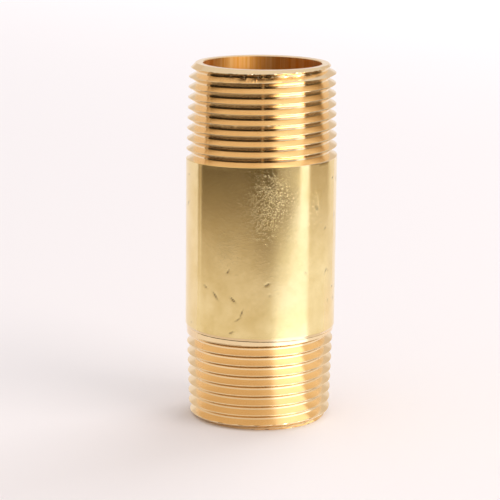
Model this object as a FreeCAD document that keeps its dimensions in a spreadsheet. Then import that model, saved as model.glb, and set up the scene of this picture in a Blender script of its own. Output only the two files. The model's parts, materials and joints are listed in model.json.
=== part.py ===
"""Brass pipe nipple, 3/4 NPT by 2-1/2 in: a tube with a right-hand taper pipe thread on each end.

One piece of metal. It stands on the lower end, with the bore along +Z and the origin at the centre of
the lower end face. The blank is a revolved outline, and each thread is one helical groove cut into it.
Lengths are in millimetres.
"""
import FreeCAD, Part
import math
import os
import Sketcher

SIZES = [
    # alias, value, what it is
    ("total_length", 63.5, "end to end, 2-1/2 in"),
    ("tube_radius", 13.335, "outside of 3/4 in pipe, 1.050 in across"),
    ("bore_radius", 10.44, "inside of 3/4 in pipe"),
    ("rim_chamfer", 0.15, "deburred edge of the bore at both ends"),
    ("face_radius", 11.66, "outer edge of the flat end ring, where the 45 degree lead-in starts"),
    ("thread_pitch", 25.4 / 14, "14 threads per inch"),
    ("taper", 1 / 32, "growth of the radius per length: 1 in 16 on the diameter"),
    ("thread_length", 16.5, "end face to the plain tube"),
    ("shoulder_step", 0.2, "how much deeper the lower thread is cut"),
    ("shoulder_height", 0.5, "height of the bevel between the lower thread and the plain tube"),
    ("thread_depth", 1.25, "crest to root"),
    ("root_flat", 0.17, "width of the groove's bottom"),
    ("cutter_overlap", 0.1, "how far the groove's outline stands outside the crests"),
    ("lower_lead", 1.18, "start of the lower groove below the lower end face"),
    ("lower_runout", 1.0, "end of the lower groove short of the plain tube"),
    ("upper_lead", 1.11, "start of the upper groove above the upper end face"),
    ("upper_runout", 0.5, "end of the upper groove short of the plain tube"),
]
FLANK_RISE = "0.57735"  # tangent of 30 degrees, half of the 60 degree thread angle


def make_sheet(doc):
    """Spreadsheet with one driving dimension in each row."""
    sheet = doc.addObject("Spreadsheet::Sheet", "Sizes")
    for row, (alias, value, meaning) in enumerate(SIZES, start=1):
        sheet.set(f"A{row}", str(value))
        sheet.setAlias(f"A{row}", alias)
        sheet.set(f"B{row}", meaning)
    doc.recompute()
    return sheet


def sketch_on_xz(body, name):
    """Empty sketch on the body's XZ plane: across is the radius, up is the height."""
    planes = {feature.Role: feature for feature in body.Origin.OriginFeatures}
    sketch = body.newObject("Sketcher::SketchObject", name)
    sketch.AttachmentSupport = [(planes["XZ_Plane"], "")]
    sketch.MapMode = "FlatFace"
    return sketch


def draw_outline(sketch, corners):
    """Closed outline through corners, each a (radius, height) pair of expressions."""
    points = [FreeCAD.Vector(*map(sketch.evalExpression, corner), 0) for corner in corners]
    count = len(corners)
    for index, start in enumerate(points):
        sketch.addGeometry(Part.LineSegment(start, points[(index + 1) % count]), False)
    for index in range(count):
        sketch.addConstraint(Sketcher.Constraint("Coincident", index, 2, (index + 1) % count, 1))
    for index, corner in enumerate(corners):
        for kind, expression in zip(("DistanceX", "DistanceY"), corner):
            value = sketch.evalExpression(expression)
            if value == 0:
                sketch.addConstraint(Sketcher.Constraint("PointOnObject", index, 1, -1))
                continue
            number = sketch.addConstraint(Sketcher.Constraint(kind, -1, 1, index, 1, value))
            sketch.setExpression(f"Constraints[{number}]", expression)


def blank_corners():
    """Half section of the tube before threading, counter-clockwise from the lower end face."""
    rim = "Sizes.bore_radius + Sizes.rim_chamfer"
    top = "Sizes.total_length"
    lower_crest = "(Sizes.tube_radius - Sizes.shoulder_step - Sizes.thread_length * Sizes.taper)"
    upper_crest = "(Sizes.tube_radius - Sizes.thread_length * Sizes.taper)"
    lower_lead_in = f"({lower_crest} - Sizes.face_radius) / (1 - Sizes.taper)"
    upper_lead_in = f"({upper_crest} - Sizes.face_radius) / (1 - Sizes.taper)"
    return [
        (rim, "0"),
        ("Sizes.face_radius", "0"),
        (f"Sizes.face_radius + {lower_lead_in}", lower_lead_in),
        ("Sizes.tube_radius - Sizes.shoulder_step", "Sizes.thread_length"),
        ("Sizes.tube_radius", "Sizes.thread_length + Sizes.shoulder_height"),
        ("Sizes.tube_radius", f"{top} - Sizes.thread_length"),
        (f"Sizes.face_radius + {upper_lead_in}", f"{top} - {upper_lead_in}"),
        ("Sizes.face_radius", top),
        (rim, top),
        ("Sizes.bore_radius", f"{top} - Sizes.rim_chamfer"),
        ("Sizes.bore_radius", "Sizes.rim_chamfer"),
    ]


def groove_corners(barrel_crest, lead):
    """Section of a thread groove where its helix starts, lead outside the end face.

    Heights count from the end face towards the plain tube. barrel_crest is the crest radius where the
    thread meets the plain tube; the crests fall by the taper from there.
    """
    crest = f"({barrel_crest} - (Sizes.thread_length + {lead}) * Sizes.taper)"
    reach = "(Sizes.thread_depth + Sizes.cutter_overlap)"
    mouth = f"(Sizes.root_flat / 2 + {reach} * {FLANK_RISE})"
    bottom = f"{crest} - Sizes.thread_depth"
    outside = f"{crest} + Sizes.cutter_overlap"
    return [
        (bottom, f"0 - {lead} - Sizes.root_flat / 2"),
        (outside, f"0 - {lead} - {mouth}"),
        (outside, f"0 - {lead} + {mouth}"),
        (bottom, f"0 - {lead} + Sizes.root_flat / 2"),
    ]


def revolve_blank(body):
    """The tube with its end lead-ins, the two taper cones and the shoulder."""
    sketch = sketch_on_xz(body, "BlankOutline")
    draw_outline(sketch, blank_corners())
    blank = body.newObject("PartDesign::Revolution", "Blank")
    blank.Profile = sketch
    blank.ReferenceAxis = (sketch, ["V_Axis"])
    blank.Angle = 360


def cut_thread(body, name, barrel_crest, lead, runout, from_top):
    """One right-hand taper thread: a groove wound from outside an end face towards the plain tube.

    The upper thread's sketch is the lower one's turned end for end, which keeps the thread right-hand.
    """
    sketch = sketch_on_xz(body, f"{name}Outline")
    if from_top:
        half_turn = FreeCAD.Rotation(FreeCAD.Vector(1, 0, 0), 180)
        sketch.AttachmentOffset = FreeCAD.Placement(FreeCAD.Vector(), half_turn)
        sketch.setExpression("AttachmentOffset.Base.y", "Sizes.total_length")
    draw_outline(sketch, groove_corners(barrel_crest, lead))
    groove = body.newObject("PartDesign::SubtractiveHelix", name)
    groove.Profile = sketch
    groove.ReferenceAxis = (sketch, ["V_Axis"])
    groove.Mode = "pitch-height-angle"
    groove.setExpression("Pitch", "Sizes.thread_pitch")
    groove.setExpression("Height", f"{lead} + Sizes.thread_length - {runout}")
    groove.setExpression("Angle", "atan(Sizes.taper)")


def make_nipple(doc):
    """The whole piece, as one body."""
    body = doc.addObject("PartDesign::Body", "PipeNipple")
    body.Label = "pipe_nipple"
    revolve_blank(body)
    doc.recompute()
    lower_crest = "(Sizes.tube_radius - Sizes.shoulder_step)"
    cut_thread(body, "LowerThread", lower_crest, "Sizes.lower_lead", "Sizes.lower_runout", False)
    doc.recompute()
    cut_thread(body, "UpperThread", "Sizes.tube_radius", "Sizes.upper_lead", "Sizes.upper_runout", True)
    body.Placement = FreeCAD.Placement()
    return body


def groove_volume(sheet, runout):
    """Metal that a full groove takes away: its section times the length of its helix."""
    section = sheet.thread_depth * (sheet.root_flat + sheet.thread_depth * float(FLANK_RISE))
    turns = (sheet.thread_length - runout) / sheet.thread_pitch
    middle_radius = sheet.tube_radius - sheet.thread_length * sheet.taper / 2 - sheet.thread_depth / 3
    return section * turns * 2 * math.pi * middle_radius


def check(doc, body):
    """Stop if a feature failed, a thread took away the wrong amount of metal or the solid isn't sound."""
    for item in doc.Objects:
        if {"Invalid", "Error"} & set(item.State):
            raise RuntimeError(f"{item.Label} failed: {item.State}")
    steps = [doc.getObject(name).Shape.Volume for name in ("Blank", "LowerThread", "UpperThread")]
    for before, after, runout in zip(steps, steps[1:], (doc.Sizes.lower_runout, doc.Sizes.upper_runout)):
        share = (before - after) / groove_volume(doc.Sizes, runout)
        print("groove volume, measured over expected:", round(share, 3))
        if not 0.9 < share < 1.1:
            raise RuntimeError("a thread groove was not cut")
    if body.Shape.isNull() or not body.Shape.isValid() or len(body.Shape.Solids) != 1:
        raise RuntimeError(f"{body.Label} is not one valid solid")


def main():
    doc = FreeCAD.newDocument("PipeNipple")
    make_sheet(doc)
    body = make_nipple(doc)
    doc.recompute()
    check(doc, body)
    os.makedirs("parts", exist_ok=True)
    body.Shape.exportStep(f"parts/{body.Label}.step")
    print(body.Label, "volume", round(body.Shape.Volume, 1), "mm3")


main()
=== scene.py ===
# %% [markdown]
# # A brass pipe nipple, threaded at both ends
# The real object is one length of seamless brass tube. A die cuts a taper thread on each end and leaves
# the drawn tube between them alone. So there is one piece to make, and everything that the eye reads on
# it is either the shape of the threads or the difference between freshly cut and handled brass.
# The plan is: one closed numpy surface for the whole piece, two brass finishes, then a pale stage.

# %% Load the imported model, which stays fixed
import json
import math

import bpy
import numpy as np
from mathutils import Matrix, Vector


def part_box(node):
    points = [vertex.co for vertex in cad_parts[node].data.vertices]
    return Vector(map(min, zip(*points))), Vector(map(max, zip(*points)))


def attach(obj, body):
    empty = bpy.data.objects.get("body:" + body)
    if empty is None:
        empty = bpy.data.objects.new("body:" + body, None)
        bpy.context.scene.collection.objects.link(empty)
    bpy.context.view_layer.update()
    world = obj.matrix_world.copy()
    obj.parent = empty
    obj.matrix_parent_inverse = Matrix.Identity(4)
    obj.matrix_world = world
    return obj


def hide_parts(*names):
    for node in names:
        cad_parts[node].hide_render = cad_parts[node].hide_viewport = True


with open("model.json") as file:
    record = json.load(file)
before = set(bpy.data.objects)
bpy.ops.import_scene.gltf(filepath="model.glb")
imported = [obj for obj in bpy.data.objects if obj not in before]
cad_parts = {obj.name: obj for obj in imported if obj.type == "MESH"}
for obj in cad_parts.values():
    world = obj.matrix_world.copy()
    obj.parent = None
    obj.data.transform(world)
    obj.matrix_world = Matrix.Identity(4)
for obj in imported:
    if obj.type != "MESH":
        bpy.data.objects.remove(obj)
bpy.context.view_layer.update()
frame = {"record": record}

# %% [markdown]
# ## Sizes
# The outside size and the bore come from the imported model and its record, so this file can't drift
# away from them. The length of each thread is given here, like the numbers of the thread standard: 14
# threads per inch, a taper of 1 in 16 on the diameter and a 60 degree form. Lengths are in millimetres
# here, and are turned to metres only when a mesh is made.

# %% Sizes in millimetres
MM = 0.001
low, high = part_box("pipe_nipple")
LENGTH = high.z / MM
TUBE = high.x / MM                                # radius of the plain tube
mounts = {mount["name"]: mount for mount in frame["record"]["mounts"]}
BORE = mounts["bore"]["dims"]["r_mm"]
PITCH = 25.4 / 14
TAPER = 1 / 32                                    # growth of the radius per length
DEPTH = 1.25                                      # crest to root
ROOT = 0.14                                       # half of the groove's flat bottom
FLANK = math.tan(math.radians(30))                # half of the 60 degree form
THREAD = 16.5                                     # end face to the plain tube
FACE = 11.66                                      # outer edge of the flat end ring
RIM = 0.15                                        # deburred edge of the bore
STEP = 0.2                                        # the lower thread is cut this much deeper
print("length", round(LENGTH, 3), "tube radius", round(TUBE, 3), "bore", BORE, "pitch", round(PITCH, 4))

# %% [markdown]
# ## The blank
# Before threading, the tube is turned to two shallow cones. A 45 degree lead-in at each end lets a
# fitting start. The lower cone is cut a little deeper, which leaves a bevelled shoulder and a hairline
# undercut under the plain tube. As a formula this is one radius for each height: the smallest of the
# cones, the lead-ins and the tube.

# %% Radius of the blank
BEVEL_HEIGHT = 0.4                                # of the shoulder above the lower thread
HAIRLINE = 0.05                                   # depth of the undercut, and its place below the bevel
HAIRLINE_WIDTH = 0.09
CORNER = 0.06                                     # rounding where a lead-in meets a cone


def smooth_min(a, b, width):
    """The smaller of a and b, with the corner between them rounded over width."""
    near = np.clip(1 - np.abs(a - b) / width, 0, 1)
    return np.minimum(a, b) - near ** 2 * width / 4


def blank_radius(z):
    """Smallest of tube, both thread cones and both lead-ins, less a hairline dip under the shoulder."""
    shoulder = TUBE - STEP + np.clip((z - THREAD - HAIRLINE) / BEVEL_HEIGHT, 0, 1) * STEP
    lower = shoulder - np.clip(THREAD - z, 0, None) * TAPER
    upper = TUBE - np.clip(z - (LENGTH - THREAD), 0, None) * TAPER
    undercut = HAIRLINE * np.exp(-((z - THREAD + HAIRLINE) / HAIRLINE_WIDTH) ** 2)
    cone = np.minimum(lower, upper) - undercut
    return smooth_min(cone, FACE + np.minimum(z, LENGTH - z), CORNER)


probes = np.array([0, THREAD, LENGTH / 2, LENGTH])
print("blank radius at the bottom, shoulder, middle and top:", blank_radius(probes).round(3))

# %% [markdown]
# ## The threads
# A thread is a V groove whose bottom climbs one pitch for each turn. At any angle and height we ask how
# far, measured along the axis, the nearest groove centre is. That distance gives the wall of the V. The
# angle counts from +X, and a right-hand thread climbs as the angle grows. Where a die stops, its last
# teeth lift out of the metal over about a third of a turn, so the V is raised there until it is gone.

# %% The grooves
LOWER_START = 14.70 + PITCH / 4                   # a groove centre of the lower thread at angle 0
UPPER_START = 60.52 + PITCH / 4                   # a groove centre of the upper thread at angle 0
LOWER_LAST = 15.30                                # the lower groove's centre where the die stops
UPPER_LAST = 47.20                                # the same for the upper groove
RUNOUT = 0.55                                     # climb of the helix while the die lifts out


def groove_centre(theta, z, start):
    """Height of the groove centre nearest to z, for a groove that passes start at angle 0."""
    helix = start + PITCH * theta / (2 * np.pi)
    return helix + PITCH * np.round((z - helix) / PITCH)


def groove_radius(theta, z):
    """Wall of the V: the root's radius, plus the axial distance past the root flat times the flank."""
    is_lower = z < LENGTH / 2
    centre = groove_centre(theta, z, np.where(is_lower, LOWER_START, UPPER_START))
    crest = np.where(is_lower, TUBE - STEP - (THREAD - z) * TAPER, TUBE - (z - LENGTH + THREAD) * TAPER)
    past = np.where(is_lower, centre - LOWER_LAST, UPPER_LAST - centre)
    lift = np.clip(past / RUNOUT, 0, 3) * DEPTH
    wall = np.maximum(np.abs(z - centre) - ROOT, 0) / FLANK
    return crest - DEPTH + lift + wall


print("groove half width at the crest:", round(ROOT + DEPTH * FLANK, 3), "mm")

# %% [markdown]
# ## Wear
# Brass this soft is never perfect. The crests carry small burrs and chips, the first turn has a rolled
# lip, the rim has a bruise, and the plain tube is nicked and scuffed from handling. All of it is worked
# out as heights over angle and height, so that it is real shape in the mesh. The same functions give
# two vertex attributes that the finish of the plain tube reads later: one darkens the colour in the
# nicks, the more the deeper they are, and scuff says where the skin is rubbed.

# %% Burrs on the crests
LOWER_FULL = 15.6                                 # top of the full crests on the lower thread
UPPER_FULL = 47.1                                 # bottom of the full crests on the upper thread
LIP_BELOW_TOP = 1.9                               # the rolled lip of the first turn


def ripple(x, slowest, fastest, waves, seed):
    """Sum of sines with random speeds between slowest and fastest, scaled to about -1 to 1."""
    own = np.random.default_rng(seed)
    total = np.zeros_like(x)
    for speed, phase in zip(own.uniform(slowest, fastest, waves), own.uniform(0, 2 * np.pi, waves)):
        total += np.sin(speed * x + phase)
    return total / math.sqrt(waves)


def crest_wear(theta, z):
    """Change of the crest's radius: a crown across it, and along it a fine ripple, chips and a lip."""
    start = np.where(z < LENGTH / 2, LOWER_START, UPPER_START) + PITCH / 2
    crest = groove_centre(theta, z, start)
    is_full = (z < LOWER_FULL) | (z > UPPER_FULL)
    crown = 0.010 * np.clip(np.abs(z - crest) / 0.05, 0, 1.5) ** 2 * is_full
    along = crest * 2 * np.pi / PITCH * TUBE      # millimetres along the crest
    fine = 0.0015 * ripple(along, 0.8, 3, 8, 3)
    chips = 0.05 * np.clip(ripple(along, 4, 14, 9, 5) * ripple(along, 0.1, 0.5, 5, 6) - 0.9, 0, 1)
    lip = 0.22 * np.exp(-((crest - LENGTH + LIP_BELOW_TOP) / 0.45) ** 2)
    return fine - chips - crown + lip * (z > LENGTH / 2)


# %% Nicks and scuffs on the plain tube
NICK_WIDTH = 0.11                                 # half width of every nick
NICKS = [
    # degrees round from the front, height, length, lean in degrees, depth
    (-36, 24.0, 1.5, -50, 0.06), (-21, 23.7, 1.2, -40, 0.06), (5, 26.6, 0.9, 25, 0.05),
    (-46, 25.3, 0.9, -30, 0.04), (-14, 21.4, 1.3, 70, 0.04), (-17, 20.2, 1.2, 35, 0.03),
    (-66, 17.9, 0.5, 80, 0.05), (-22, 17.8, 0.8, 20, 0.05), (-25, 28.6, 0.9, 60, 0.04),
    (36, 28.2, 0.5, -60, 0.03), (46, 39.4, 0.9, -60, 0.04), (-72, 44.2, 0.5, 10, 0.04),
    (7, 24.6, 0.5, 0, 0.03),
]
rng = np.random.default_rng(14)
OTHER_NICKS = [
    # the same five numbers, drawn at random for the sides and the back
    (rng.uniform(55, 305), rng.uniform(18, 46), rng.uniform(0.3, 1.3), rng.uniform(-90, 90),
     rng.uniform(0.02, 0.05))
    for _ in range(46)
]
SCUFFS = [
    # degrees round from the front, height, half width, half height: where the skin is rubbed
    (8, 43, 3.8, 4.2), (0, 38, 4.0, 4.6), (-26, 33, 3.0, 3.5), (48, 40, 1.8, 4.5),
    (120, 28, 4.0, 6.0), (-150, 36, 3.5, 7.0), (170, 24, 4.0, 3.5),
]


def round_from_front(theta):
    """Degrees from the front, which faces -Y, growing towards +X, between -180 and 180."""
    return (np.degrees(theta) + 90 + 180) % 360 - 180


def arc(theta, degrees):
    """Millimetres round the tube from the place that many degrees from the front."""
    return np.radians((round_from_front(theta) - degrees + 180) % 360 - 180) * TUBE


def nick_depths(theta, z):
    """Sum of long narrow dimples, each a Gaussian along and across its own direction."""
    depth = np.zeros_like(z)
    for degrees, height, length, lean, deepest in NICKS + OTHER_NICKS:
        across = arc(theta, degrees)
        up = z - height
        turn = math.radians(lean)
        along = across * math.cos(turn) + up * math.sin(turn)
        aside = up * math.cos(turn) - across * math.sin(turn)
        depth += deepest * np.exp(-(along / (0.45 * length)) ** 2 - (aside / NICK_WIDTH) ** 2)
    return depth


def scuff_amount(theta, z):
    """Between 0 and 1: soft ellipses that fade from their middle."""
    amount = np.zeros_like(z)
    for degrees, height, wide, tall in SCUFFS:
        amount += np.exp(-(arc(theta, degrees) / wide) ** 2 - ((z - height) / tall) ** 2)
    return np.clip(amount, 0, 1)


print("nicks:", len(NICKS), "placed and", len(OTHER_NICKS), "random; rubbed places:", len(SCUFFS))

# %% [markdown]
# ## One radius for every angle and height
# Now the pieces of the formula meet. The outside is the smaller of the blank and the groove wall, with
# the corner between them rounded by a few hundredths of a millimetre, as a die leaves it.

# %% Outer surface
END_ZONE = 1.4                                    # height of the plain rows at each end


def on_plain_tube(z):
    """1 on the plain tube, 0 on the threads, with a short soft change."""
    inside = np.minimum(z - THREAD - 0.5, LENGTH - THREAD - 0.3 - z)
    return np.clip(inside / 0.3, 0, 1)


def rim_bruise(theta, z):
    """A ragged bruise where the upper lead-in meets the first groove, a little left of the front."""
    near = np.exp(-(arc(theta, -9) / 1.5) ** 2 - ((z - LENGTH + 0.75) / 0.3) ** 2)
    return 0.11 * near * ripple(arc(theta, 0), 5, 16, 8, 8)


def outer_radius(theta, z):
    """Smaller of blank and groove, changed by the wear and, on the tube, by a swell too slight to feel."""
    is_below_lead_in = z < LENGTH - 1.2
    blank = blank_radius(z) + crest_wear(theta, z) * (1 - on_plain_tube(z)) * is_below_lead_in
    swell = 0.004 * ripple(z, 0.3, 1.0, 4, 21) * np.sin(2 * theta) + 0.003 * np.sin(3 * theta + z / 4)
    blank = blank + on_plain_tube(z) * (swell - 0.007 - nick_depths(theta, z))
    return smooth_min(blank, groove_radius(theta, z), 0.03) + rim_bruise(theta, z)


# %% [markdown]
# ## The grid
# A square grid would cut across the thread's edges and make them look like a saw. So in the threads the
# rows of the grid climb with the helix: each row stays on a crest, on a flank or in a root all the way
# round. Where such a row would leave its zone it is held at the zone's edge, and the flat slivers that
# this makes are dropped afterwards. The columns stand closer together at the front, where the nicks are.

# %% Rows and columns
COLUMNS = 240
CROWDING = 0.35                                   # how much closer the columns stand at the front
share = np.linspace(0, 1, COLUMNS + 1)
theta = np.pi / 2 + 2 * np.pi * share + CROWDING * np.sin(2 * np.pi * share)   # once round from the back
edge = ROOT + DEPTH * FLANK                       # half width of the groove at the crest
half = np.array([ROOT - 0.01, ROOT + 0.02, edge - 0.08, edge - 0.012, edge + 0.010])
offsets = np.concatenate([-half[::-1], [0], half, [PITCH / 2]])                   # rows in one pitch


def level_rows(bottom, top, spacing):
    """Rows at constant heights from bottom up to, but without, top."""
    heights = np.linspace(bottom, top, round((top - bottom) / spacing), endpoint=False)
    return np.repeat(heights[:, None], COLUMNS + 1, axis=1)


def helix_rows(bottom, top, start):
    """Rows that climb one pitch per turn, held between bottom and top."""
    turns = np.arange(math.floor((bottom - start) / PITCH) - 2, math.ceil((top - start) / PITCH) + 2)
    at_zero = (start + PITCH * turns[:, None] + offsets[None, :]).ravel()
    heights = np.clip(at_zero[:, None] + PITCH * theta[None, :] / (2 * np.pi), bottom, top)
    used = (heights.max(1) > bottom) & (heights.min(1) < top)
    return np.vstack([np.full((1, COLUMNS + 1), bottom), heights[used]])


outside_z = np.vstack([
    level_rows(0, END_ZONE, 0.065),
    helix_rows(END_ZONE, THREAD - 0.3, LOWER_START),
    level_rows(THREAD - 0.3, THREAD + 0.7, 0.07),
    level_rows(THREAD + 0.7, LENGTH - THREAD - 1, 0.25),
    helix_rows(LENGTH - THREAD - 1, LENGTH - END_ZONE, UPPER_START),
    level_rows(LENGTH - END_ZONE, LENGTH + 0.001, 0.062),
    np.full((1, COLUMNS + 1), LENGTH),
])
angles = np.broadcast_to(theta, outside_z.shape)
outside_r = outer_radius(angles, outside_z)
print("rows outside:", len(outside_z), "largest radius:", round(outside_r.max(), 3))

# %% [markdown]
# ## Closing the section
# From the outer edge the rows go on over the upper end ring, down the bore and back under the lower end
# ring, so the section is one closed loop and the mesh has no open edge. The bore was reamed, so it is
# round and straight.

# %% End rings and bore
def ring_rows(from_r, to_r, height, shares):
    """Rows on a flat end face, between two radii."""
    radii = np.stack([from_r + (to_r - from_r) * s for s in shares])
    return radii, np.full_like(radii, height)


one_row = np.ones(COLUMNS + 1)
bore_z = np.linspace(LENGTH - RIM, RIM, 14)[:, None] * one_row
bore_r = np.full_like(bore_z, BORE)
top_r, top_z = ring_rows(outside_r[-1], (BORE + RIM) * one_row, LENGTH, (0.08, 0.5, 0.92, 1))
under_r, under_z = ring_rows((BORE + RIM) * one_row, outside_r[0], 0, (0, 0.08, 0.5, 0.92))
radius = np.vstack([outside_r, top_r, bore_r, under_r])
height = np.vstack([outside_z, top_z, bore_z, under_z])


# %% Make the mesh from the grid
def closed_mesh(name, radius, height, theta):
    """Points and faces of a grid that closes both ways, with doubled points and flat slivers dropped."""
    rows, columns = radius.shape
    points = np.stack([radius * np.cos(theta), radius * np.sin(theta), height], axis=-1).reshape(-1, 3)
    _, first, same = np.unique(np.round(points, 4), axis=0, return_index=True, return_inverse=True)
    row, column = np.meshgrid(np.arange(rows), np.arange(columns - 1), indexing="ij")
    above = (row + 1) % rows
    corners = [row * columns + column, row * columns + column + 1,
               above * columns + column + 1, above * columns + column]
    quads = same.ravel()[np.stack(corners, axis=-1).reshape(-1, 4)]
    doubled = quads == np.roll(quads, -1, axis=1)
    whole = quads[doubled.sum(1) == 0]
    three = quads[doubled.sum(1) == 1][~doubled[doubled.sum(1) == 1]].reshape(-1, 3)
    mesh = bpy.data.meshes.new(name)
    mesh.from_pydata((points[first] * MM).tolist(), [], whole.tolist() + three.tolist())
    mesh.update()
    return mesh, first


mesh, kept = closed_mesh("threaded_brass_tube", radius, height, theta)
nipple = bpy.data.objects.new("threaded_brass_tube", mesh)
bpy.context.scene.collection.objects.link(nipple)
print("points", len(mesh.vertices), "triangles", sum(len(p.vertices) - 2 for p in mesh.polygons))

# %% [markdown]
# ## Shading data
# Each vertex gets a darkening of the colour in the nicks of the plain tube, the more the deeper the nick,
# and scuff, which says how much of the skin is rubbed there. Each face gets one of three finishes: cut
# brass on threads and ends, drawn brass on the plain tube, reamed brass in the bore, whose colour holds
# painted shade. Shading is smooth, but an edge that turns by more than 20 degrees stays sharp, as the
# corner of a thread root does.

# %% Attributes, finish per face and smooth shading
BLACK_DEPTH = 0.045                               # a nick this deep gets the full darkening
SHARP_ANGLE = math.radians(20)
point = np.empty(len(mesh.vertices) * 3)
mesh.vertices.foreach_get("co", point)
point = point.reshape(-1, 3) / MM
at_angle = np.arctan2(point[:, 1], point[:, 0])
is_outside = np.hypot(point[:, 0], point[:, 1]) > BORE + 0.5
at_height = point[:, 2]
# Darkening of the colour in the nicks, the deeper the darker, on the outside of the plain tube only.
nick_darkening = np.clip(nick_depths(at_angle, at_height) / BLACK_DEPTH, 0, 1) * on_plain_tube(at_height) * is_outside
scuff = scuff_amount(at_angle, at_height) * is_outside
for name, values in (("nick_darkening", nick_darkening), ("scuff", scuff)):
    mesh.attributes.new(name, "FLOAT", "POINT").data.foreach_set("value", values.astype(np.float32))

face_middle = np.empty(len(mesh.polygons) * 3)
mesh.polygons.foreach_get("center", face_middle)
face_middle = face_middle.reshape(-1, 3) / MM
face_r = np.hypot(face_middle[:, 0], face_middle[:, 1])
face_z = face_middle[:, 2]
is_skin = (face_r > TUBE - 0.13) & (face_z > THREAD + 0.35) & (face_z < LENGTH - THREAD + 0.1)
is_bore = face_r < BORE + 0.05
mesh.polygons.foreach_set("material_index", (is_skin + 2 * is_bore).astype(np.int32))
mesh.polygons.foreach_set("use_smooth", np.ones(len(mesh.polygons), bool))
mesh.set_sharp_from_angle(angle=SHARP_ANGLE)
print("faces of drawn skin:", int(is_skin.sum()))

# %% [markdown]
# ## Colours and a node helper
# Colours are written as the hex values that a screen shows, and one function turns them to the linear
# numbers that a renderer needs. One more function adds a node with its settings and links.

# %% Helpers for materials
def linear(hex_colour):
    """Linear red, green, blue and alpha of an sRGB hex colour such as #d4af37."""
    parts = np.array([int(hex_colour[i:i + 2], 16) for i in (1, 3, 5)]) / 255
    parts = np.where(parts <= 0.04045, parts / 12.92, ((parts + 0.055) / 1.055) ** 2.4)
    return (*parts.tolist(), 1.0)


def add(tree, kind, inputs=None, **settings):
    """New node of that kind. inputs maps a socket's name or number to a value or to another socket."""
    node = tree.nodes.new(kind)
    for name, value in settings.items():
        setattr(node, name, value)
    for key, value in (inputs or {}).items():
        if isinstance(value, bpy.types.NodeSocket):
            tree.links.new(value, node.inputs[key])
        else:
            node.inputs[key].default_value = value
    return node


def new_material(name):
    """Empty material, its node tree and its output node."""
    material = bpy.data.materials.new(name)
    material.use_nodes = True
    material.node_tree.nodes.clear()
    return material, material.node_tree, add(material.node_tree, "ShaderNodeOutputMaterial")


def per_mm(size):
    """Texture scale for a pattern of that size in millimetres, on coordinates in metres."""
    return 1 / (size * MM)


# %% [markdown]
# ## Cut brass
# Free-cutting brass straight off the die. It is bright and orange-gold, because light bounces two or
# three times between the flanks and takes on more of the metal's colour each time. The tool leaves
# rings round the axis a few hundredths apart, drawn here a little coarser so that they show. They smear
# reflections up and down but not sideways, so the gloss is anisotropic, with its tangent round the axis.

# %% Material: cut_brass
RING_SPACING = 0.09
GLOSS_SMEAR = 0.88                                # anisotropy: 0 is even, 1 smears in one direction only
QUARTER_TURN = 0.25                               # turns the smear from round the axis to along it


def cut_brass():
    """Rings: noise squeezed along Z, as bump. Stain: slow noise that shifts colour and gloss a little."""
    material, tree, output = new_material("cut_brass")
    place = add(tree, "ShaderNodeTexCoord").outputs["Object"]
    rings = add(tree, "ShaderNodeMapping", {"Vector": place, "Scale": (0.03, 0.03, 1)}).outputs[0]
    tool = add(tree, "ShaderNodeTexNoise", {"Vector": rings, "Scale": per_mm(RING_SPACING), "Detail": 2.0})
    stain = add(tree, "ShaderNodeTexNoise", {"Vector": place, "Scale": per_mm(3.0), "Detail": 4.0})
    colour = add(tree, "ShaderNodeMix", {0: stain.outputs[0], 6: linear("#fae1b8"), 7: linear("#f7daac")},
                 data_type="RGBA")
    gloss = add(tree, "ShaderNodeMapRange", {"Value": stain.outputs[0], "From Min": 0.3, "From Max": 0.7,
                                             "To Min": 0.11, "To Max": 0.14})
    bump = add(tree, "ShaderNodeBump", {"Height": tool.outputs[0], "Strength": 0.06, "Distance": 0.01 * MM})
    tangent = add(tree, "ShaderNodeTangent", direction_type="RADIAL", axis="Z")
    shader = add(tree, "ShaderNodeBsdfPrincipled", {
        "Base Color": colour.outputs[2], "Metallic": 1.0, "Roughness": gloss.outputs[0],
        "Anisotropic": GLOSS_SMEAR, "Anisotropic Rotation": QUARTER_TURN, "Tangent": tangent.outputs[0],
        "Normal": bump.outputs[0]})
    tree.links.new(shader.outputs[0], output.inputs[0])
    return material


# %% [markdown]
# ## Reamed bore
# The inside was reamed and never polished, so it is duller. Its colour is painted deeper and more
# orange than the cut brass, as painted shade for the inside of the tube, where light bounces between its
# walls. Streaks run along it where the reamer was drawn out.

# %% Material: reamed bore, its colour deepened as painted shade
def reamed_brass_painted_shade():
    """Streaks: noise stretched fifty times along Z shifts the colour and bumps it; both colours are deepened
    as painted shade.
    """
    material, tree, output = new_material("reamed_brass_painted_shade")
    place = add(tree, "ShaderNodeTexCoord").outputs["Object"]
    drawn_out = add(tree, "ShaderNodeMapping", {"Vector": place, "Scale": (1, 1, 0.02)}).outputs[0]
    streak = add(tree, "ShaderNodeTexNoise", {"Vector": drawn_out, "Scale": per_mm(0.5), "Detail": 3.0})
    contrast = add(tree, "ShaderNodeMapRange", {"Value": streak.outputs[0], "From Min": 0.35,
                                                "From Max": 0.65})
    # Both colours are deeper orange than the cut brass: painted shade of the tube's inside, mixed by the
    # streaks.
    colour = add(tree, "ShaderNodeMix", {0: contrast.outputs[0], 6: linear("#d08c3c"),
                                         7: linear("#dca660")}, data_type="RGBA")
    bump = add(tree, "ShaderNodeBump", {"Height": streak.outputs[0], "Strength": 0.25, "Distance": 0.04 * MM})
    shader = add(tree, "ShaderNodeBsdfPrincipled", {
        "Base Color": colour.outputs[2], "Metallic": 1.0, "Roughness": 0.46, "Normal": bump.outputs[0]})
    tree.links.new(shader.outputs[0], output.inputs[0])
    return material


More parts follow.
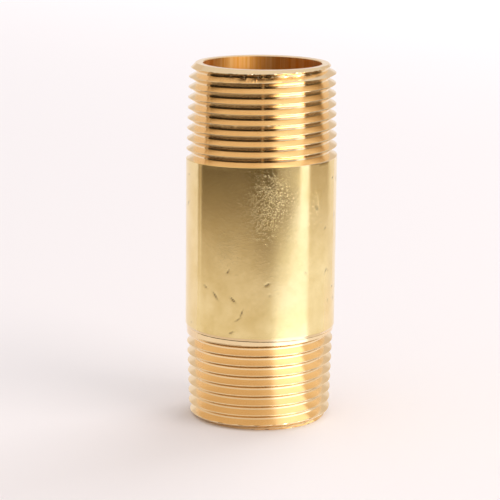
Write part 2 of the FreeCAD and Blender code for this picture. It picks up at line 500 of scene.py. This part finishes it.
# %% [markdown]
# ## Drawn brass
# The skin of the plain tube was squeezed smooth by the drawing die and then handled. It is paler and a
# little green next to the cut metal. Thin tarnish lies on it in patches, and fine rubbed flecks scatter the
# light where it was knocked about. In the nicks the colour is darkened, the more the deeper they are.

# %% Flecks of the rubbed skin
SCUFF_GAIN = 0.26                                 # how much a rubbed place raises the noise above its limit


def where_rubbed(tree, scuff, noise, low, high):
    """0 to 1 as noise plus a share of scuff goes from low to high, so it shows only where rubbed."""
    raised = add(tree, "ShaderNodeMath", {0: scuff, 1: SCUFF_GAIN, 2: noise}, operation="MULTIPLY_ADD")
    return add(tree, "ShaderNodeMapRange", {"Value": raised.outputs[0], "From Min": low,
                                            "From Max": high}).outputs[0]


def fleck_mask(tree, place, scuff):
    """Larger of dots and curls. A curl is where a noise crosses 0.5, so it draws thin bent lines."""
    speck = add(tree, "ShaderNodeTexNoise", {"Vector": place, "Scale": per_mm(0.3), "Detail": 2.0,
                                             "Roughness": 0.65, "Distortion": 0.8})
    dots = where_rubbed(tree, scuff, speck.outputs[0], 0.80, 0.90)
    hair = add(tree, "ShaderNodeTexNoise", {"Vector": place, "Scale": per_mm(0.5), "Detail": 1.0,
                                            "Distortion": 1.2})
    ridge = add(tree, "ShaderNodeMath", {0: hair.outputs[0], 1: 0.5}, operation="SUBTRACT")
    ridge = add(tree, "ShaderNodeMath", {0: ridge.outputs[0]}, operation="ABSOLUTE")
    line = add(tree, "ShaderNodeMapRange", {"Value": ridge.outputs[0], "From Min": 0.008,
                                            "From Max": 0.020, "To Min": 1.0, "To Max": 0.0})
    broken = add(tree, "ShaderNodeTexNoise", {"Vector": place, "Scale": per_mm(0.5), "Detail": 2.0})
    kept_parts = where_rubbed(tree, scuff, broken.outputs[0], 0.66, 0.76)
    curls = add(tree, "ShaderNodeMath", {0: line.outputs[0], 1: kept_parts}, operation="MULTIPLY")
    return add(tree, "ShaderNodeMath", {0: dots, 1: curls.outputs[0]}, operation="MAXIMUM").outputs[0]


# %% Material: drawn_brass
def drawn_brass():
    """Tarnish in slow patches, a darker colour in the nicks, and flecks that are rougher and stand out of the
    grain.
    """
    material, tree, output = new_material("drawn_brass")
    place = add(tree, "ShaderNodeTexCoord").outputs["Object"]
    nick_darkening = add(tree, "ShaderNodeAttribute", attribute_name="nick_darkening").outputs["Fac"]
    scuff = add(tree, "ShaderNodeAttribute", attribute_name="scuff").outputs["Fac"]
    patches = add(tree, "ShaderNodeTexNoise", {"Vector": place, "Scale": per_mm(5.0), "Detail": 5.0,
                                               "Roughness": 0.6})
    grain = add(tree, "ShaderNodeTexNoise", {"Vector": place, "Scale": per_mm(0.5), "Detail": 3.0})
    flecks = fleck_mask(tree, place, scuff)
    tarnish = add(tree, "ShaderNodeMapRange", {"Value": patches.outputs[0], "From Min": 0.35,
                                               "From Max": 0.7})
    clean = add(tree, "ShaderNodeMix", {0: tarnish.outputs[0], 6: linear("#f9e2aa"), 7: linear("#efd494")},
                data_type="RGBA")
    # The colour is darkened towards near black in the nicks, the more the deeper they are.
    darkened_in_nicks = add(tree, "ShaderNodeMix", {0: nick_darkening, 6: clean.outputs[2], 7: linear("#2e1f08")},
                data_type="RGBA")
    dull = add(tree, "ShaderNodeMapRange", {"Value": tarnish.outputs[0], "To Min": 0.13, "To Max": 0.19})
    rough = add(tree, "ShaderNodeMath", {0: flecks, 1: 0.06, 2: dull.outputs[0]}, operation="MULTIPLY_ADD")
    relief = add(tree, "ShaderNodeMath", {0: flecks, 1: 1.5, 2: grain.outputs[0]}, operation="MULTIPLY_ADD")
    bump = add(tree, "ShaderNodeBump", {"Height": relief.outputs[0], "Strength": 0.5,
                                        "Distance": 0.012 * MM})
    tangent = add(tree, "ShaderNodeTangent", direction_type="RADIAL", axis="Z")
    shader = add(tree, "ShaderNodeBsdfPrincipled", {
        "Base Color": darkened_in_nicks.outputs[2], "Metallic": 1.0, "Roughness": rough.outputs[0],
        "Anisotropic": GLOSS_SMEAR, "Anisotropic Rotation": QUARTER_TURN, "Tangent": tangent.outputs[0],
        "Normal": bump.outputs[0]})
    tree.links.new(shader.outputs[0], output.inputs[0])
    return material


# %% Give the finishes to the piece
mesh.materials.append(cut_brass())
mesh.materials.append(drawn_brass())
mesh.materials.append(reamed_brass_painted_shade())
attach(nipple, "root")
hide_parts("pipe_nipple")
print("finishes:", [material.name for material in mesh.materials])

# %% [markdown]
# ## The stage
# A pale floor under soft lights fills the frame. Polished brass has hardly a look of its own, though: it
# shows the room round it. So a room is built for the reflections alone. A wall that is bright low down
# and dark above curves round the front, a tall window stands to the right, white paper stands far
# behind, and bright paper lies on the floor. These are cards that only reflections see, so the floor
# stays plain in every view. Each card is a grid whose points carry a brightness, worked out by a
# function of the angle and the height or distance.

# %% Floor
def plain(name, colour):
    """Matt material of one colour, with no shine, so the cards don't show in it."""
    material, tree, output = new_material(name)
    shader = add(tree, "ShaderNodeBsdfPrincipled", {
        "Base Color": linear(colour), "Roughness": 1.0, "Specular IOR Level": 0.0})
    tree.links.new(shader.outputs[0], output.inputs[0])
    return material


def stage_mesh(name, points, faces, material):
    """A stage object from points in millimetres."""
    made = bpy.data.meshes.new(name)
    made.from_pydata((np.array(points, float) * MM).tolist(), [], faces)
    made.materials.append(material)
    piece = bpy.data.objects.new(name, made)
    bpy.context.scene.collection.objects.link(piece)
    return piece


FLOOR = 3000                                      # half the width of the floor
stage_mesh("pale_floor", [(-FLOOR, -FLOOR, 0), (FLOOR, -FLOOR, 0), (FLOOR, FLOOR, 0), (-FLOOR, FLOOR, 0)],
           [(0, 1, 2, 3)], plain("pale_paper", "#f3eeee"))


# %% A room for the reflections
def step(x, middle, width):
    """0 well below middle, 1 well above it, changing smoothly over width."""
    return 1 / (1 + np.exp(-4 * (x - middle) / width))


def room_brightness(degrees, height):
    """Bright low down and dark above, with the change lowest at the camera and highest at the window.

    To that come a lit doorway on the far left with a dark post in it, a bright strip beside the window
    and a wall on the right that grows lighter towards the back.
    """
    # The front wall: height where bright turns to dark, then the brightness below and above it.
    change = 15 - 6 * np.exp(-((degrees - 14) / 22) ** 2) + 12 * np.clip((degrees - 36) / 24, 0, 1) ** 1.2
    below = 0.85 + 0.6 * step(degrees, 20, 30)
    above = 0.03 + (0.14 - 0.07 * np.exp(-(degrees / 20) ** 2)) * (1 - step(height, 30, 8))
    front = below + (above - below) * step(height, change, 12)
    # A thin pale line straight ahead, and the light that spills from the window.
    front = front + 0.45 * np.exp(-((degrees - 1) / 1.5) ** 2) * step(height, 36, 4)
    front = front + 1.1 * step(degrees, 24, 10) * step(height, 37, 6)
    # The doorway with its post, the wall on the right and the strip beside the window.
    doorway = np.clip(1.1 - 0.02 * height, 0.5, 1.0) - 0.3 * np.exp(-((degrees + 104) / 1.0) ** 2)
    front = front + (doorway - front) * step(-degrees, 98, 1)
    wall = np.clip(1.16 - 0.028 * (height - 10), 0.1, 1.16)
    wall = wall - 0.22 * np.exp(-((height - 17) / 4) ** 2)
    wall = wall + (1.0 - wall) * step(degrees, 119, 8)
    strip = 1.4 * np.exp(-np.clip(height - 60, 0, None) / 20)
    right = strip + (wall - strip) * step(degrees, 73.5, 4)
    return front + (right - front) * step(degrees, 58, 4)


def window_brightness(degrees):
    """A tall window that fades out towards the camera."""
    return 8.0 * step(degrees, 25, 18) * (1 - step(degrees, 74, 3))


# %% Cards that carry the room
CARD_COLUMNS = 241
CARD_ROWS = 33


def card_grid(start, end, first, last):
    """Degrees from the front between start and end, and a second measure between first and last."""
    return np.meshgrid(np.linspace(start, end, CARD_COLUMNS), np.linspace(first, last, CARD_ROWS))


def glow_card(name, degrees, distance, height, brightness):
    """Card through the points at those degrees, distances and heights, glowing by brightness.

    Dim parts are warm and bright ones cool, as in a room lit by a window. Only reflections see it.
    """
    turn = np.radians(degrees)
    points = np.stack([np.sin(turn) * distance, -np.cos(turn) * distance,
                       height + 0 * turn], axis=-1).reshape(-1, 3)
    row, column = np.meshgrid(np.arange(CARD_ROWS - 1), np.arange(CARD_COLUMNS - 1), indexing="ij")
    first = row * CARD_COLUMNS + column
    above = first + CARD_COLUMNS
    faces = np.stack([first, first + 1, above + 1, above], axis=-1).reshape(-1, 4)
    material, tree, output = new_material(name)
    glow = add(tree, "ShaderNodeAttribute", attribute_name="glow").outputs["Fac"]
    share = add(tree, "ShaderNodeMapRange", {"Value": glow, "From Min": 0.0, "From Max": 1.4})
    colour = add(tree, "ShaderNodeMix", {0: share.outputs[0], 6: linear("#ffd694"), 7: linear("#f1f6ff")},
                 data_type="RGBA")
    shader = add(tree, "ShaderNodeEmission", {"Color": colour.outputs[2], "Strength": glow})
    tree.links.new(shader.outputs[0], output.inputs[0])
    piece = stage_mesh(name, points, faces.tolist(), material)
    values = (brightness + 0 * degrees).ravel().astype(np.float32)
    piece.data.attributes.new("glow", "FLOAT", "POINT").data.foreach_set("value", values)
    for rays in ("camera", "diffuse", "shadow", "transmission", "volume_scatter"):
        setattr(piece, f"visible_{rays}", False)
    return piece


around, up = card_grid(-107, 140, 0, 108)
glow_card("dim_room", around, 112, up, room_brightness(around, up))
around, up = card_grid(10, 80, 72, 150)
glow_card("tall_window", around, 105, up, window_brightness(around))
around, up = card_grid(120, 245, 0, 400)
glow_card("back_paper", around, 600, up, 0.98 - 0.18 * step(up, 165, 30))

# %% Bright paper in front of the window
def paper_brightness(degrees, distance):
    """Even, a little lighter on the right, and in front of the window brightest 40 to 70 mm away."""
    far = 0.40 * step(degrees, 18, 30)
    near = 1.0 * (1 - step(distance, 72, 12)) - 0.35 * (1 - step(distance, 38, 16))
    window = (far + near * step(degrees, 22, 10)) * (1 - step(degrees, 72, 6))
    return 0.80 + 0.20 * step(distance, 38, 16) + 0.1 * step(degrees, 74, 6) + window


around, away = card_grid(-107, 110, 109, 12.2)
glow_card("bright_paper", around, away, 0.2, paper_brightness(around, away))
print("bright paper from", away.min(), "to", away.max(), "mm away")

# %% Soft lights and sky
def softbox(name, place, target, wide, tall, energy, colour):
    """Area light at place that faces target, both in millimetres, which reflections don't see."""
    light = bpy.data.objects.new(name, bpy.data.lights.new(name, "AREA"))
    light.data.shape = "RECTANGLE"
    light.data.size = wide * MM
    light.data.size_y = tall * MM
    light.data.energy = energy
    light.data.color = linear(colour)[:3]
    light.visible_glossy = False
    light.location = Vector(place) * MM
    light.rotation_euler = (Vector(place) - Vector(target)).to_track_quat("Z", "Y").to_euler()
    bpy.context.scene.collection.objects.link(light)


softbox("key", (500, -330, 420), (0, 0, 0), 450, 450, 1.7, "#fff4ee")
softbox("back", (900, 1500, 800), (300, 900, 0), 1500, 900, 17.5, "#f2f8ff")

# %% Sky, a little brighter overhead
world = bpy.data.worlds.new("pale_room")
bpy.context.scene.world = world
world.use_nodes = True
sky = world.node_tree
direction = add(sky, "ShaderNodeTexCoord").outputs["Generated"]
upward = add(sky, "ShaderNodeSeparateXYZ", {0: direction}).outputs["Z"]
strength = add(sky, "ShaderNodeMapRange", {"Value": upward, "From Min": 0.1, "From Max": 1.0,
                                           "To Min": 0.70, "To Max": 0.84})
sky.nodes["Background"].inputs["Color"].default_value = linear("#fffbfa")
sky.links.new(strength.outputs[0], sky.nodes["Background"].inputs["Strength"])
bpy.context.scene.view_settings.view_transform = "Standard"

# %% [markdown]
# ## Camera
# A long lens, a little above the object and looking down on it by 12 degrees, with a slight roll.

# %% Camera
camera = bpy.data.objects.new("camera", bpy.data.cameras.new("camera"))
camera.data.lens = 148.36
camera.data.sensor_width = 36
camera.data.clip_start = 0.01
camera.data.clip_end = 20
bpy.context.scene.collection.objects.link(camera)
tilt = math.radians(11.96)
roll = math.radians(0.58)
camera.matrix_world = (Matrix.Translation(Vector((-1.877, -359.52, 106.06)) * MM)
                       @ Matrix.Rotation(math.pi / 2 - tilt, 4, "X") @ Matrix.Rotation(roll, 4, "Z"))
bpy.context.scene.camera = camera

# %% Update the view layer
bpy.context.view_layer.update()
